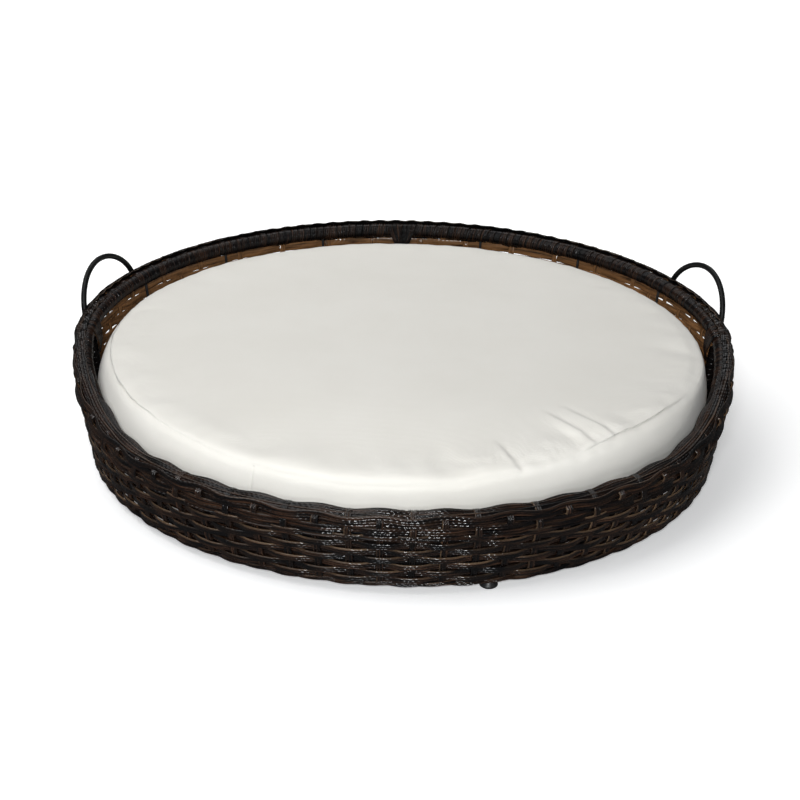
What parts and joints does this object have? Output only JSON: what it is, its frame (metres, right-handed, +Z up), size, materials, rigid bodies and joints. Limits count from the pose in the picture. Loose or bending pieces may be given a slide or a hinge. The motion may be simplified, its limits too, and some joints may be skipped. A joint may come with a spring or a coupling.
{
  "type": "wicker pet bed basket",
  "caption": "Round low pet bed: dark flat-strand woven wall with a high rear rim and low front, steel frame, rod handles at the sides, thick round zipped cushion.",
  "frame": {"origin": "on the floor under the middle of the basket", "axes": "+Z up, -Y towards the low front of the rim, +X to the right seen from the front"},
  "size_m": [0.923, 0.923, 0.2225],
  "materials": {
    "frame_steel": "black powder coat, satin",
    "handle_steel": "black powder coat, satin",
    "rim_wicker": "ribbed flat strand, espresso, half gloss",
    "border_wicker": "ribbed flat strand, espresso with brown streaks, half gloss",
    "wall_wicker": "ribbed flat strand, espresso with brown streaks, half gloss",
    "floor_wicker": "ribbed flat strand, espresso",
    "foot_plastic": "moulded black plastic",
    "cushion_fabric": "close plain weave, warm off-white",
    "cushion_foam": "open-cell foam",
    "zip_tape": "woven zip tape, warm off-white",
    "zip_metal": "cast metal, satin"
  },
  "bodies": {
    "root": {"rim_hoop": "frame_steel", "base_hoop": "frame_steel", "base_bar_across": "frame_steel", "base_bar_front": "frame_steel", "base_bar_rear": "frame_steel", "front_post": "frame_steel", "right_post": "frame_steel", "rear_post": "frame_steel", "left_post": "frame_steel", "upright_rod_01": "frame_steel", "upright_rod_02": "frame_steel", "upright_rod_03": "frame_steel", "upright_rod_04": "frame_steel", "upright_rod_05": "frame_steel", "upright_rod_06": "frame_steel", "upright_rod_07": "frame_steel", "upright_rod_08": "frame_steel", "upright_rod_09": "frame_steel", "upright_rod_10": "frame_steel", "upright_rod_11": "frame_steel", "upright_rod_12": "frame_steel", "front_post_wrap": "rim_wicker", "right_post_wrap": "rim_wicker", "rear_post_wrap": "rim_wicker", "left_post_wrap": "rim_wicker", "rim_wrap": "rim_wicker", "rim_border": "border_wicker", "wall_weave": "wall_wicker", "floor_weave": "floor_wicker", "foot_1": "foot_plastic", "foot_2": "foot_plastic", "foot_3": "foot_plastic", "foot_4": "foot_plastic", "handle_left": "handle_steel", "handle_right": "handle_steel"},
    "cushion": {"cushion_cover": "cushion_fabric", "cushion_foam": "cushion_foam", "zip_tape_lower": "zip_tape", "zip_tape_upper": "zip_tape"},
    "zip_slider": {"zip_slider": "zip_metal"},
    "zip_pull": {"zip_pull": "zip_metal"}
  },
  "joints": [
    {"name": "cushion_lift", "type": "slide", "parent": "root", "child": "cushion", "axis": [0, 0, 1], "range_m": [0, 0.25]},
    {"name": "zip_travel", "type": "hinge", "parent": "cushion", "child": "zip_slider", "pos_m": [0, 0, 0.09], "axis": [0, 0, 1], "range_deg": [0, 102]},
    {"name": "zip_pull_swing", "type": "hinge", "parent": "zip_slider", "child": "zip_pull", "pos_m": [0.32669, 0.26455, 0.09], "axis": [0.6293, -0.7771, 0], "range_deg": [0, 170]}
  ]
}
